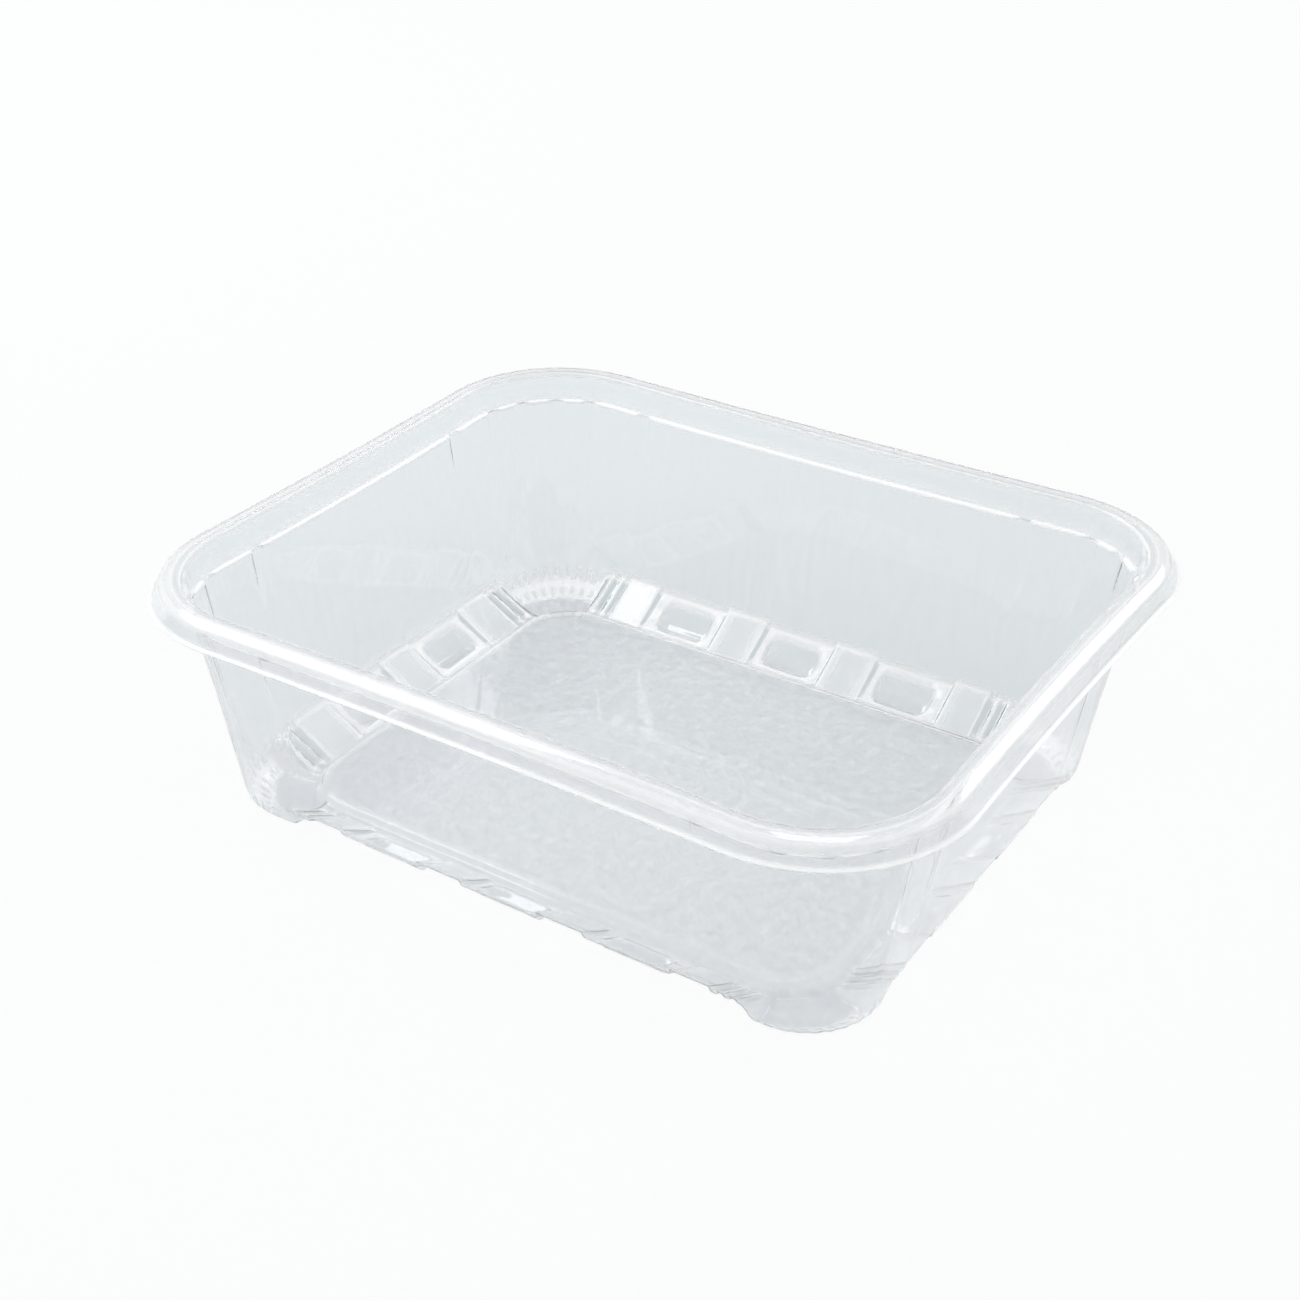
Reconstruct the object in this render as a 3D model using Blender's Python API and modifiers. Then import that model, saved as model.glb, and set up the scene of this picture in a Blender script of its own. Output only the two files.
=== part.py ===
"""Clear thermoformed berry punnet: one sheet drawn into a tray with a castellated heel.

Blender 4.5, metres, +Z up. The origin is on the ground under the middle of the tray,
+X runs along the long side. The modelled surface is the side of the sheet that the fruit
touches, and a Solidify modifier gives the sheet its thickness on the other side.
A "reach" is measured outwards from the edge of the floor panel.
"""

import math
from typing import NamedTuple

import bmesh
import bpy

# Sheet
SHEET = 0.0004

# Rim, measured on its outer top edge
RIM_LENGTH = 0.1900
RIM_WIDTH = 0.1587
RIM_CORNER = 0.0330
RIM_HEIGHT = 0.0597
SIDE_DRAW_IN = 0.0019

# Flange, its raised bead and the skirt that hangs from it
FLANGE_WIDTH = 0.0050
BEAD_EDGE_INSET = 0.0019
BEAD_SLOPE_WIDTH = 0.0005
BEAD_HEIGHT = 0.0005
SHOULDER_ROUND = 0.0006
SKIRT_DROP = 0.0039
SKIRT_FLARE = 0.0017
LIP_WIDTH = 0.0009
LIP_DROP = 0.0004

# Collar and stacking ledge under the flange, and how far the wall below draws in
COLLAR_DEPTH = 0.0072
COLLAR_DRAW = 0.0009
LEDGE_WIDTH = 0.0010
WALL_DRAW = 0.0082
FLUTE_WIDTH = 0.0026

# Floor panel and the ring that carries it
FLOOR_CORNER = 0.0130
FLOOR_HEIGHT = 0.0033
RING_HEIGHT = 0.0020
RING_REACH = 0.0013

# Heel, where the walls turn into the castellated band
HEEL_REACH = 0.0133
HEEL_HEIGHT = 0.0075
HEEL_CORNER = 0.0160
LONG_PANEL_INSET = 0.0148
SHORT_PANEL_INSET = 0.0137
BLOCK_RISE = 0.0009
BLOCK_TOE_REACH = 0.0029
POCKET_ROUND = 0.0022
POCKET_TOE_REACH = 0.0070
POCKET_TOE_HEIGHT = 0.0011
POCKET_TOE_ROUND = 0.0008

# Widths of the blocks and pockets, as shares of the pitch that a side's blocks repeat at
BLOCK_SHARE = 0.380
END_BLOCK_SHARE = 0.310
POCKET_SHARE = 0.476

# Corner feet with their fluted toe
FOOT_HEIGHT = 0.00042
FOOT_SHOULDER_HEIGHT = 0.0030
FOOT_TOE_REACH = 0.0080
FOOT_HEEL_REACH = 0.0004
FOOT_BACK_REACH = -0.0008
FOOT_BACK_DRAFT = 0.0007
FOOT_FLUTE_DEPTH = 0.0004
FOOT_FLUTES = 7
SCALLOP_DEPTH = 0.0005
SCALLOPS = 3

# Places along a corner, as shares of the way round it
CORNER_FLUTE_SHARES = (0.275, 0.427, 0.573, 0.725)
CORNER_POCKET_SHARES = (0.035, 0.065, 0.095)
CORNER_NOTCH_SHARE = 0.125
FOOT_RAMP_SHARES = (0.150, 0.180)
FOOT_START_SHARE = 0.200

# How much of a pocket's depth shows at its edge, inside its rounding and next to a foot
POCKET_EDGE_SHARE = 0.60
POCKET_INNER_SHARE = 0.95
CORNER_POCKET_DEPTH_SHARES = (0.55, 0.75, 0.55)
FOOT_RAMP_DEPTH_SHARES = (0.40, 0.85)

# Where rows lie down the wall, down the front of each form and along the foot's sole
WALL_ROW_SHARES = (0.0, 0.45)
LOW_WALL_SHARE = 0.93
BLOCK_ROW_SHARES = (0.0, 0.3, 0.55, 0.7, 0.8, 0.93, 1.0)
POCKET_ROW_SHARES = (0.0, 0.35, 0.7, 1.0)
POCKET_RUN_SHARE = 0.7
FOOT_WALL_SHARE = 0.55
FOOT_FRONT_SHARE = 0.55
FOOT_SOLE_SHARE = 0.5

# Where the rim has stations along half of a long and of a short panel
LONG_STATION_SHARES = (0.0, 0.35, 0.7)
SHORT_STATION_SHARES = (0.6, 0.0)

# Detail of the curves, and the gap that the mirror closes
ARC_STEPS = 48
MIRROR_GAP = 0.00001


class Outline(NamedTuple):
    """A rounded rectangle with sides that may draw in at the middle."""

    half_x: float
    half_y: float
    corner: float
    height: float
    draw_in: float


class Station(NamedTuple):
    """A place on a quarter of the outline and how deep each moulded form is there."""

    side: str
    place: float
    flute: float = 0.0
    pocket: float = 0.0
    foot: float = 0.0
    toe_flute: float = 0.0
    scallop: float = 0.0


def between(start: tuple, end: tuple, share: float) -> tuple:
    """The point at this share of the way from start to end."""
    return tuple(a + (b - a) * share for a, b in zip(start, end))


def floor_half(rim_size: float) -> float:
    """Half the floor panel, across or along, from the rim's size the same way."""
    return rim_size / 2 - (FLANGE_WIDTH + COLLAR_DRAW + LEDGE_WIDTH + WALL_DRAW + HEEL_REACH)


def long_panel_half() -> float:
    """Half the straight panel of a long side, up to its last block's outer edge."""
    return floor_half(RIM_LENGTH) - LONG_PANEL_INSET


def short_panel_half() -> float:
    """Half the straight panel of a short side, up to its last block's outer edge."""
    return floor_half(RIM_WIDTH) - SHORT_PANEL_INSET


def long_pitch() -> float:
    """The pitch at which a long side's four blocks fill its panel."""
    return long_panel_half() / (3 / 2 + END_BLOCK_SHARE / 2)


def short_pitch() -> float:
    """The pitch at which a short side's three blocks fill its panel."""
    return short_panel_half() / (1 + BLOCK_SHARE / 2)


def corner_path(outline: Outline) -> list:
    """Points round one corner, from the long side's panel to the short side's."""
    centre_x = outline.half_x - outline.corner
    centre_y = outline.half_y - outline.corner
    points = [(min(long_panel_half(), centre_x), outline.half_y)]
    for step in range(ARC_STEPS + 1):
        angle = math.pi / 2 * (1 - step / ARC_STEPS)
        points.append(
            (
                centre_x + outline.corner * math.cos(angle),
                centre_y + outline.corner * math.sin(angle),
            )
        )
    points.append((outline.half_x, min(short_panel_half(), centre_y)))
    return points


def point_on_path(points: list, share: float) -> tuple:
    """The point at this share of a path's length, and the outward direction there."""
    lengths = [math.dist(a, b) for a, b in zip(points, points[1:])]
    left = share * sum(lengths)
    found = None
    for start, end, length in zip(points, points[1:], lengths):
        if length > 0 and (left > 0 or found is None):
            x, y = between(start, end, min(left / length, 1))
            found = x, y, (start[1] - end[1]) / length, (end[0] - start[0]) / length
        left -= length
    return found


def place_point(outline: Outline, station: Station, push: float) -> tuple:
    """The point of a station on an outline, pushed outwards, before the sides draw in."""
    if station.side == "long":
        x, y, out_x, out_y = station.place, outline.half_y, 0, 1
    elif station.side == "short":
        x, y, out_x, out_y = outline.half_x, station.place, 1, 0
    else:
        x, y, out_x, out_y = point_on_path(corner_path(outline), station.place)
    return x + out_x * push, y + out_y * push


def draw_sides_in(outline: Outline, x: float, y: float) -> tuple:
    """Moves a point inwards by its share of the sides' draw, which ends at the corners."""
    fade_x = max(1 - (x / outline.half_x) ** 2, 0)
    fade_y = max(1 - (y / outline.half_y) ** 2, 0)
    return (
        x - outline.draw_in * fade_y * x / outline.half_x,
        y - outline.draw_in * fade_x * y / outline.half_y,
    )


def surface_point(outline: Outline, station: Station, push: float, height: float) -> tuple:
    """The three coordinates of one point of the sheet."""
    x, y = place_point(outline, station, push)
    x, y = draw_sides_in(outline, x, y)
    return x, y, height


def rim_outline(inset: float, height: float) -> Outline:
    """The rim's outer edge, brought in by an inset that may be negative."""
    return Outline(
        RIM_LENGTH / 2 - inset,
        RIM_WIDTH / 2 - inset,
        RIM_CORNER - inset,
        height,
        SIDE_DRAW_IN,
    )


def wall_outline(share: float) -> Outline:
    """The wall between the ledge, at share 0, and the heel, at share 1."""
    top = rim_outline(FLANGE_WIDTH + COLLAR_DRAW + LEDGE_WIDTH, RIM_HEIGHT - COLLAR_DEPTH)
    heel = Outline(
        floor_half(RIM_LENGTH) + HEEL_REACH,
        floor_half(RIM_WIDTH) + HEEL_REACH,
        HEEL_CORNER,
        HEEL_HEIGHT,
        0.0,
    )
    return Outline(*between(top, heel, share))


def base_outline(reach: float, height: float) -> Outline:
    """An outline of the base, whose corners open out from the floor to the heel."""
    corner = FLOOR_CORNER + (HEEL_CORNER - FLOOR_CORNER) * reach / HEEL_REACH
    half_x = floor_half(RIM_LENGTH) + reach
    half_y = floor_half(RIM_WIDTH) + reach
    return Outline(half_x, half_y, corner, height, 0.0)


def rim_rows(stations: list) -> list:
    """Rows of points from the skirt's lip over the flange to the wall's middle."""
    skirt_foot = rim_outline(-SKIRT_FLARE, RIM_HEIGHT - SKIRT_DROP)
    flat_height = RIM_HEIGHT - BEAD_HEIGHT
    outlines = [
        rim_outline(-SKIRT_FLARE - LIP_WIDTH, RIM_HEIGHT - SKIRT_DROP - LIP_DROP),
        skirt_foot,
        rim_outline(0.0, flat_height - SHOULDER_ROUND),
        rim_outline(SHOULDER_ROUND, flat_height),
        rim_outline(BEAD_EDGE_INSET - BEAD_SLOPE_WIDTH, flat_height),
        rim_outline(BEAD_EDGE_INSET, RIM_HEIGHT),
        rim_outline(FLANGE_WIDTH, RIM_HEIGHT),
        rim_outline(FLANGE_WIDTH + COLLAR_DRAW, RIM_HEIGHT - COLLAR_DEPTH),
    ]
    rows = [[surface_point(o, s, 0.0, o.height) for s in stations] for o in outlines]
    for share in WALL_ROW_SHARES:
        outline = wall_outline(share)
        depth = LEDGE_WIDTH * (1 - share)
        row = [surface_point(outline, s, s.flute * depth, outline.height) for s in stations]
        rows.append(row)
    return rows


def heel_profiles() -> tuple:
    """Reach and height down the heel, for a block, for a pocket and for a foot."""
    wall_slope = (wall_outline(0.0).half_x - wall_outline(1.0).half_x) / (
        wall_outline(0.0).height - HEEL_HEIGHT
    )
    crest = (HEEL_REACH, HEEL_HEIGHT)
    block_crest = (HEEL_REACH + BLOCK_RISE * wall_slope, HEEL_HEIGHT + BLOCK_RISE)
    ring = (BLOCK_TOE_REACH, RING_HEIGHT)
    block = [between(block_crest, ring, share) for share in BLOCK_ROW_SHARES]
    toe = (POCKET_TOE_REACH, POCKET_TOE_HEIGHT)
    toe_top = (POCKET_TOE_REACH + POCKET_TOE_ROUND, POCKET_TOE_HEIGHT + POCKET_TOE_ROUND)
    pocket = [between(crest, toe_top, share) for share in POCKET_ROW_SHARES]
    pocket += [toe, between(toe, ring, POCKET_RUN_SHARE), ring]
    shoulder_drop = HEEL_HEIGHT - FOOT_SHOULDER_HEIGHT
    shoulder = (HEEL_REACH - shoulder_drop * wall_slope, FOOT_SHOULDER_HEIGHT)
    foot_toe = (FOOT_TOE_REACH, FOOT_HEIGHT)
    foot_heel = (FOOT_HEEL_REACH, FOOT_HEIGHT)
    foot = [crest, between(crest, shoulder, FOOT_WALL_SHARE), shoulder]
    foot += [between(shoulder, foot_toe, FOOT_FRONT_SHARE), foot_toe]
    foot += [between(foot_toe, foot_heel, FOOT_SOLE_SHARE), foot_heel]
    return block, pocket, foot


def base_rows(stations: list) -> list:
    """Rows of points from low on the wall down the heel to the floor panel's edge."""
    low_wall = wall_outline(LOW_WALL_SHARE)
    rows = [[surface_point(low_wall, s, 0.0, low_wall.height) for s in stations]]
    block, pocket, foot = heel_profiles()
    for level in range(len(block)):
        row = []
        for station in stations:
            spot = between(block[level], pocket[level], station.pocket)
            spot = between(spot, foot[level], station.foot)
            push = FOOT_FLUTE_DEPTH * station.toe_flute if level == 3 else 0.0
            reach, height = spot
            row.append(surface_point(base_outline(reach, height), station, push, height))
        rows.append(row)
    for reach, height, back_reach, foot_height in (
        (RING_REACH, RING_HEIGHT, FOOT_BACK_REACH, FOOT_HEIGHT),
        (0.0, FLOOR_HEIGHT, FOOT_BACK_REACH - FOOT_BACK_DRAFT, FLOOR_HEIGHT),
    ):
        row = []
        for station in stations:
            back = back_reach + SCALLOP_DEPTH * station.scallop
            own_reach, own_height = between((reach, height), (back, foot_height), station.foot)
            row.append(surface_point(base_outline(own_reach, own_height), station, 0.0, own_height))
        rows.append(row)
    return rows


def rim_stations() -> list:
    """Stations of a quarter of the rim, with the flutes that part the corner's panels."""
    half_flute = FLUTE_WIDTH / 2
    path = corner_path(wall_outline(0.0))
    path_length = sum(math.dist(a, b) for a, b in zip(path, path[1:]))
    flute_share = half_flute / path_length
    stations = [Station("long", long_panel_half() * share) for share in LONG_STATION_SHARES]
    stations.append(Station("long", long_panel_half() - half_flute))
    stations.append(Station("corner", 0.0, flute=1.0))
    stations.append(Station("corner", flute_share))
    stations.append(Station("corner", CORNER_FLUTE_SHARES[0] / 2))
    for share in CORNER_FLUTE_SHARES:
        stations.append(Station("corner", share - flute_share))
        stations.append(Station("corner", share, flute=1.0))
        stations.append(Station("corner", share + flute_share))
    stations.append(Station("corner", (1 + CORNER_FLUTE_SHARES[-1]) / 2))
    stations.append(Station("corner", 1 - flute_share))
    stations.append(Station("corner", 1.0, flute=1.0))
    stations.append(Station("short", short_panel_half() - half_flute))
    stations += [Station("short", short_panel_half() * share) for share in SHORT_STATION_SHARES]
    return stations


def pocket_stations(side: str, centre: float, pitch: float) -> list:
    """The stations across one rounded pocket, on a side with this pitch."""
    edge = POCKET_SHARE * pitch / 2
    inner = edge - POCKET_ROUND
    shares = (
        (-edge, POCKET_EDGE_SHARE),
        (-inner, POCKET_INNER_SHARE),
        (0.0, 1.0),
        (inner, POCKET_INNER_SHARE),
        (edge, POCKET_EDGE_SHARE),
    )
    return [Station(side, centre + offset, pocket=depth) for offset, depth in shares]


def block_stations(side: str, centre: float, width: float) -> list:
    """The stations at the two edges of one square block."""
    return [Station(side, centre - width / 2), Station(side, centre + width / 2)]


def half_corner_stations() -> list:
    """Stations from a side's last block to the middle of the corner foot."""
    stations = []
    for share, depth in zip(CORNER_POCKET_SHARES, CORNER_POCKET_DEPTH_SHARES):
        stations.append(Station("corner", share, pocket=depth))
    stations.append(Station("corner", CORNER_NOTCH_SHARE))
    for share, depth in zip(FOOT_RAMP_SHARES, FOOT_RAMP_DEPTH_SHARES):
        stations.append(Station("corner", share, foot=depth))
    return stations


def foot_stations() -> list:
    """Stations round the foot, in and out with its flutes."""
    stations = []
    steps = 2 * FOOT_FLUTES
    for step in range(steps + 1):
        round_share = step / steps
        share = FOOT_START_SHARE + (1 - 2 * FOOT_START_SHARE) * round_share
        in_or_out = 1.0 if step % 2 else -1.0
        wave = math.cos(2 * math.pi * SCALLOPS * round_share)
        stations.append(Station("corner", share, foot=1.0, toe_flute=in_or_out, scallop=wave))
    return stations


def base_stations() -> list:
    """Stations of a quarter of the base: blocks, pockets, and half of each corner's forms."""
    long, short = long_pitch(), short_pitch()
    stations = pocket_stations("long", 0.0, long)[2:]
    stations += block_stations("long", long / 2, BLOCK_SHARE * long)
    stations += pocket_stations("long", long, long)
    stations += block_stations("long", long * 3 / 2, END_BLOCK_SHARE * long)
    near = half_corner_stations()
    stations += near + foot_stations()
    stations += [s._replace(place=1 - s.place) for s in reversed(near)]
    stations += list(reversed(block_stations("short", short, BLOCK_SHARE * short)))
    stations += list(reversed(pocket_stations("short", short / 2, short)))
    stations.append(Station("short", BLOCK_SHARE * short / 2))
    stations.append(Station("short", 0.0))
    return stations


def add_strip(mesh: bmesh.types.BMesh, upper: list, lower: list) -> None:
    """Joins two rows with the same stations by a strip of four-sided faces."""
    for left in range(len(upper) - 1):
        right = left + 1
        mesh.faces.new((upper[left], lower[left], lower[right], upper[right]))


def turn_of(vert: bmesh.types.BMVert) -> float:
    """How far round the quarter a vertex lies, by the stretch of outline it is on."""
    return math.atan2(vert.co.x / RIM_LENGTH, vert.co.y / RIM_WIDTH)


def add_stitch(mesh: bmesh.types.BMesh, upper: list, lower: list) -> None:
    """Joins two rows with unlike stations by triangles, always closing the nearer one."""
    high = low = 0
    while high < len(upper) - 1 or low < len(lower) - 1:
        step_high = low == len(lower) - 1
        if high < len(upper) - 1 and low < len(lower) - 1:
            step_high = turn_of(upper[high + 1]) <= turn_of(lower[low + 1])
        if step_high:
            mesh.faces.new((upper[high], lower[low], upper[high + 1]))
            high += 1
        else:
            mesh.faces.new((upper[high], lower[low], lower[low + 1]))
            low += 1


def make_quarter() -> bpy.types.Mesh:
    """The sheet's fruit side over one quarter of the tray."""
    mesh = bmesh.new()
    upper = [[mesh.verts.new(p) for p in row] for row in rim_rows(rim_stations())]
    lower = [[mesh.verts.new(p) for p in row] for row in base_rows(base_stations())]
    for rows in (upper, lower):
        for above, below in zip(rows, rows[1:]):
            add_strip(mesh, above, below)
    add_stitch(mesh, upper[-1], lower[0])
    centre = mesh.verts.new((0.0, 0.0, FLOOR_HEIGHT))
    mesh.faces.new([*reversed(lower[-1]), centre])
    bmesh.ops.recalc_face_normals(mesh, faces=mesh.faces)
    if sum(face.normal.z * face.calc_area() for face in mesh.faces) < 0:
        bmesh.ops.reverse_faces(mesh, faces=mesh.faces)
    data = bpy.data.meshes.new("punnet_shell")
    mesh.to_mesh(data)
    mesh.free()
    return data


def make_material() -> bpy.types.Material:
    """Clear colourless PET, as a plain Principled material."""
    material = bpy.data.materials.new("clear_pet")
    material.use_nodes = True
    shader = material.node_tree.nodes["Principled BSDF"]
    shader.inputs["Base Color"].default_value = (0.80, 0.84, 0.86, 1.0)
    shader.inputs["Roughness"].default_value = 0.06
    shader.inputs["Metallic"].default_value = 0.0
    shader.inputs["Transmission Weight"].default_value = 0.9
    shader.inputs["IOR"].default_value = 1.57
    shader.inputs["Alpha"].default_value = 0.35
    return material


def make_punnet(collection: bpy.types.Collection) -> bpy.types.Object:
    """The whole sheet: a quarter, mirrored both ways and given its thickness."""
    punnet = bpy.data.objects.new("punnet_shell", make_quarter())
    collection.objects.link(punnet)
    punnet.data.materials.append(make_material())
    mirror = punnet.modifiers.new("Both ways", "MIRROR")
    mirror.use_axis = (True, True, False)
    mirror.use_mirror_merge = True
    mirror.merge_threshold = MIRROR_GAP
    thicken = punnet.modifiers.new("Sheet", "SOLIDIFY")
    thicken.thickness = SHEET
    thicken.offset = -1.0
    thicken.use_even_offset = True
    thicken.use_quality_normals = True
    return punnet


def clear_scene() -> None:
    """Removes whatever the file opened with."""
    for item in list(bpy.data.objects):
        bpy.data.objects.remove(item, do_unlink=True)


def main() -> None:
    """Builds the punnet in a collection of its own."""
    clear_scene()
    collection = bpy.data.collections.new("berry_punnet")
    bpy.context.scene.collection.children.link(collection)
    make_punnet(collection)


main()
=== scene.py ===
"""Looks of the clear moulded berry punnet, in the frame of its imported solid.

The tray is one thermoformed PET sheet. Its fruit side is modelled as rings that run
round the tray, from the lip of the skirt over the flange and down the walls to the floor
panel, and Solidify then gives the sheet its thickness. Sizes in the classes are in
millimetres, with the ground at height 0 and X along the tray's longer side.
"""

import logging
import math
from dataclasses import dataclass, field
from enum import Enum
from typing import Any, NamedTuple

import bmesh
import bpy
import numpy as np
from mathutils import Matrix, Vector


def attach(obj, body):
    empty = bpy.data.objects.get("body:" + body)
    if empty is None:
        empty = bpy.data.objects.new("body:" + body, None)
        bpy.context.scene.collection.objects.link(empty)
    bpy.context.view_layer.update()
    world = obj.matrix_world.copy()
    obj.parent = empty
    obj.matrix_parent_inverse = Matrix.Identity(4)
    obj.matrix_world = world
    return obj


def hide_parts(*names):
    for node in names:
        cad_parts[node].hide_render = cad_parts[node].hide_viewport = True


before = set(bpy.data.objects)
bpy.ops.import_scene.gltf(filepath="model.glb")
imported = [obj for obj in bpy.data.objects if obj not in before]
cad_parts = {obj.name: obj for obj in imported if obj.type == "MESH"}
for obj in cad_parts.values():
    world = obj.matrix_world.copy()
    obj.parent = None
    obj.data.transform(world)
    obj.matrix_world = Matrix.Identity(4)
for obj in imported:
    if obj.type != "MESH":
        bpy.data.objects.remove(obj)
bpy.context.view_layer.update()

MM = 0.001
PHOTO_PIXELS = 1300
log = logging.getLogger("berry_punnet")


class Side(Enum):
    """The stretch of a quarter of the tray that a station stands on."""

    LONG = "long"
    CORNER = "corner"
    SHORT = "short"


class Form(Enum):
    """The moulded forms that take turns along the heel of the tray."""

    WEB = "web"
    BLOCK = "block"
    POCKET = "pocket"
    FOOT = "foot"


class Bend(NamedTuple):
    """A corner of a profile: how far across, how high and how round it is."""

    across: float
    height: float
    radius: float


class Run(NamedTuple):
    """Where rings lie between the middles of two bends of a profile.

    Args:
        after: Millimetres past the first bend, in order.
        middle: How many rings are spread evenly between.
        before: Millimetres short of the second bend, in order.
    """

    after: tuple[float, ...]
    middle: int
    before: tuple[float, ...]


@dataclass(frozen=True)
class Outline:
    """A rounded rectangle, seen from above, whose sides may draw in at the middle."""

    half_x: float
    half_y: float
    corner: float
    draw_in: float = 0.0

    def place(self, station: "Station", long_end: float, short_end: float) -> tuple[float, float]:
        """Finds a station's point on the outline.

        Args:
            station: The place on the quarter where X and Y are positive.
            long_end: The X at which the long side's stations give way to the corner's.
            short_end: The Y at which the corner's stations give way to the short side's.

        Returns:
            The point's X and Y, with the sides drawn in.
        """
        centre_x, centre_y = self.half_x - self.corner, self.half_y - self.corner
        first = math.asin(max(long_end - centre_x, 0.0) / self.corner)
        last = math.acos(max(short_end - centre_y, 0.0) / self.corner)
        if station.side is Side.LONG:
            turn, x, y = math.asin(max(station.place - centre_x, 0.0) / self.corner), station.place, None
        elif station.side is Side.SHORT:
            turn, x, y = math.acos(max(station.place - centre_y, 0.0) / self.corner), None, station.place
        else:
            before, after = max(centre_x - long_end, 0.0), max(centre_y - short_end, 0.0)
            gone = station.place * (before + (last - first) * self.corner + after) - before
            turn = min(max(first + gone / self.corner, first), last)
            x = long_end + gone + before if gone < 0 else None
            y = short_end + after - (gone - (last - first) * self.corner) if turn == last else None
        x = centre_x + self.corner * math.sin(turn) if x is None else x
        y = centre_y + self.corner * math.cos(turn) if y is None else y
        fade_x = max(1 - (x / self.half_x) ** 2, 0.0)
        fade_y = max(1 - (y / self.half_y) ** 2, 0.0)
        draw_x = self.draw_in * fade_y * x / self.half_x
        draw_y = self.draw_in * fade_x * y / self.half_y
        return x - draw_x, y - draw_y

    def blend(self, other: "Outline", share: float) -> "Outline":
        """The outline at this share of the way to another one."""
        mine = (self.half_x, self.half_y, self.corner, self.draw_in)
        theirs = (other.half_x, other.half_y, other.corner, other.draw_in)
        return Outline(*(a + (b - a) * share for a, b in zip(mine, theirs)))


@dataclass(frozen=True)
class Station:
    """A place on a quarter of the outline.

    Args:
        side: The stretch it stands on.
        place: Millimetres from the side's middle, or the share of the way round the corner.
    """

    side: Side
    place: float


def hex_to_linear(code: str, alpha: float = 1.0) -> tuple[float, float, float, float]:
    """Turns an sRGB hex colour into the linear values that a shader takes.

    Args:
        code: The colour as "#RRGGBB".
        alpha: The fourth value.

    Returns:
        Red, green, blue and alpha, all linear.
    """
    values = [int(code[i : i + 2], 16) / 255 for i in (1, 3, 5)]
    linear = [v / 12.92 if v <= 0.04045 else ((v + 0.055) / 1.055) ** 2.4 for v in values]
    return linear[0], linear[1], linear[2], alpha


def smooth(value: np.ndarray | float) -> np.ndarray | float:
    """Eases 0 to 1 in and out, and holds it outside that range."""
    held = np.clip(value, 0.0, 1.0)
    return held * held * (3 - 2 * held)


def add_node(tree: bpy.types.NodeTree, kind: str, settings: dict | None = None, links: dict | None = None) -> bpy.types.Node:
    """Adds one shader node, sets its values and links its inputs.

    Args:
        tree: The node tree.
        kind: The node's type name.
        settings: Attributes by name, or input values where the name is an input's.
        links: Output sockets by the name or number of the input that each feeds.

    Returns:
        The new node.
    """
    node = tree.nodes.new(kind)
    for name, value in (settings or {}).items():
        if isinstance(name, int) or name in node.inputs:
            node.inputs[name].default_value = value
        else:
            setattr(node, name, value)
    for name, socket in (links or {}).items():
        tree.links.new(socket, node.inputs[name])
    return node


def draw_profile(bends: list[Bend], runs: list[Run]) -> np.ndarray:
    """Places a profile's rings along its runs, with each bend rounded by its radius.

    Args:
        bends: The profile's corners in order. The first and last stay sharp.
        runs: One for each stretch between two bends.

    Returns:
        One row for each ring, as across and height.
    """
    corners = [np.array([bend.across, bend.height]) for bend in bends]
    points, marks = [corners[0]], [0]
    for index in range(1, len(bends) - 1):
        corner, radius = corners[index], bends[index].radius
        to_last, to_next = corners[index - 1] - corner, corners[index + 1] - corner
        room = 0.5 * min(np.linalg.norm(to_last), np.linalg.norm(to_next))
        to_last, to_next = to_last / np.linalg.norm(to_last), to_next / np.linalg.norm(to_next)
        half_turn = math.acos(max(-1.0, min(1.0, float(to_last @ to_next)))) / 2
        reach = min(radius / math.tan(half_turn), room)
        start, end = corner + to_last * reach, corner + to_next * reach
        for t in np.linspace(0, 1, 13):
            if t == 0.5:
                marks.append(len(points))
            points.append(start * (1 - t) ** 2 + corner * 2 * t * (1 - t) + end * t**2)
    points.append(corners[-1])
    marks.append(len(points) - 1)
    line = np.array(points)
    travelled = np.concatenate([[0.0], np.cumsum(np.linalg.norm(np.diff(line, axis=0), axis=1))])
    stops = []
    for run, first, last in zip(runs, marks, marks[1:]):
        start, end = travelled[first], travelled[last]
        near = [start, *(start + step for step in run.after)]
        far = [*(end - step for step in run.before)]
        spread = np.linspace(near[-1], far[0] if far else end, run.middle + 2)[1:-1]
        stops += [*near, *spread, *far]
    stops.append(travelled[-1])
    return np.column_stack([np.interp(stops, travelled, line[:, axis]) for axis in (0, 1)])


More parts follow.
